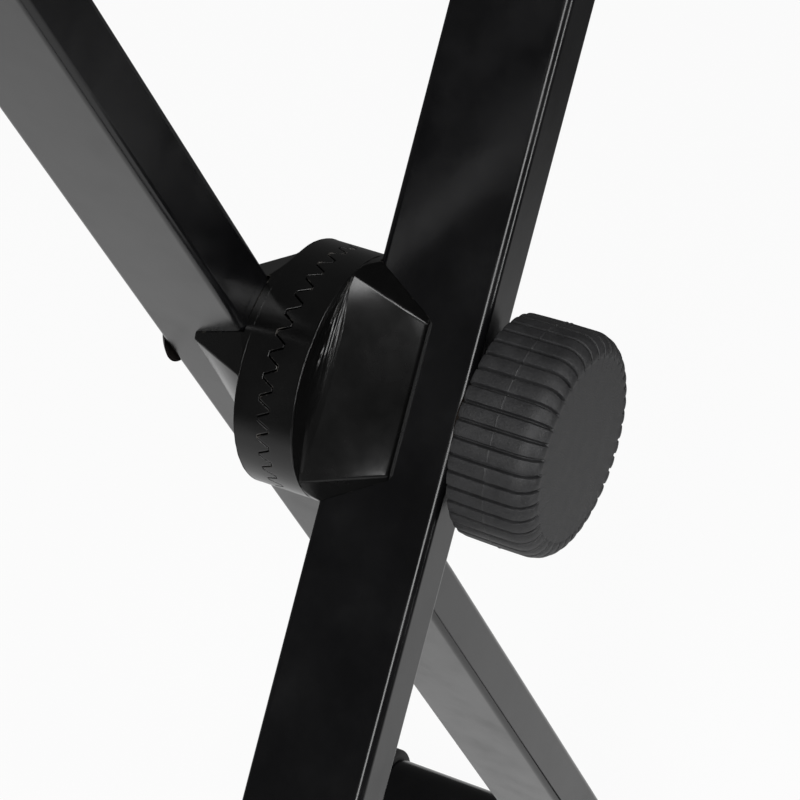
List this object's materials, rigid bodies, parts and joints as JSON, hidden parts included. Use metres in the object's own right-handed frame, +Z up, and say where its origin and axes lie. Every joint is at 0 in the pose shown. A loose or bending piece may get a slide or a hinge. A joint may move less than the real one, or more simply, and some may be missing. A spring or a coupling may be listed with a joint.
{
  "type": "folding keyboard stand",
  "caption": "Folding X-shaped keyboard stand: two crossed tube legs with foot bars and padded arms, locked at the pivot by a toothed clutch and a ribbed knob.",
  "frame": {"origin": "on the floor, under the pivot axis, in the plane where the clutch teeth meet", "axes": "+Z up; the pivot axis, the foot bars and the arms lie along Y, with the knob on the -Y side; the front leg leans to +X at its top and the rear leg to -X"},
  "size_m": [0.6294, 0.352, 0.9399],
  "materials": {
    "gloss_black_paint": "gloss black paint on steel tube",
    "satin_black_paint": "satin black paint on pressed steel",
    "black_rubber": "matte moulded rubber",
    "black_plastic": "matte moulded plastic",
    "knob_plastic": "fine-grained charcoal plastic",
    "black_zinc": "black zinc plate",
    "bright_zinc": "bright zinc plate",
    "bare_steel": "bare drawn steel",
    "spring_steel": "oiled spring wire",
    "brass_insert": "knurled brass"
  },
  "bodies": {
    "rear_leg": {"rear_leg_tube": "gloss_black_paint", "rear_clutch_cup": "satin_black_paint", "rear_foot_bar": "gloss_black_paint", "rear_foot_caps": "black_rubber", "rear_foot_saddle": "satin_black_paint", "rear_arm": "gloss_black_paint", "rear_arm_sleeves": "black_rubber", "rear_arm_plugs": "black_plastic", "rear_arm_saddle": "satin_black_paint", "rear_bar_bolts": "black_zinc", "rear_bar_washers": "black_zinc", "rear_bar_nuts": "bright_zinc", "rear_pivot_sleeve": "bare_steel", "pivot_bolt": "black_zinc", "release_spring": "spring_steel"},
    "clutch_ring": {"front_clutch_teeth": "satin_black_paint"},
    "front_leg": {"front_leg_tube": "gloss_black_paint", "front_clutch_cup": "satin_black_paint", "front_foot_bar": "gloss_black_paint", "front_foot_caps": "black_rubber", "front_foot_saddle": "satin_black_paint", "front_arm": "gloss_black_paint", "front_arm_sleeves": "black_rubber", "front_arm_plugs": "black_plastic", "front_arm_saddle": "satin_black_paint", "front_bar_bolts": "black_zinc", "front_bar_washers": "black_zinc", "front_bar_nuts": "bright_zinc", "front_pivot_sleeve": "bare_steel", "thrust_washer": "black_zinc"},
    "knob": {"knob_body": "knob_plastic", "knob_insert": "brass_insert"}
  },
  "joints": [
    {"name": "clutch_release", "type": "slide", "parent": "rear_leg", "child": "clutch_ring", "axis": [0, -1, 0], "range_m": [0, 0.006], "deforming": ["release_spring"]},
    {"name": "fold", "type": "hinge", "parent": "clutch_ring", "child": "front_leg", "pos_m": [0, 0, 0.4962], "axis": [0, 1, 0], "range_deg": [-58, 50]},
    {"name": "knob_turn", "type": "hinge", "parent": "clutch_ring", "child": "knob", "pos_m": [0, 0, 0.4962], "axis": [0, -1, 0], "range_deg": [0, 1440]}
  ],
  "couplings": [
    {"joint": "knob_turn", "follows": "clutch_release", "rad_per_m": 4188.8}
  ]
}
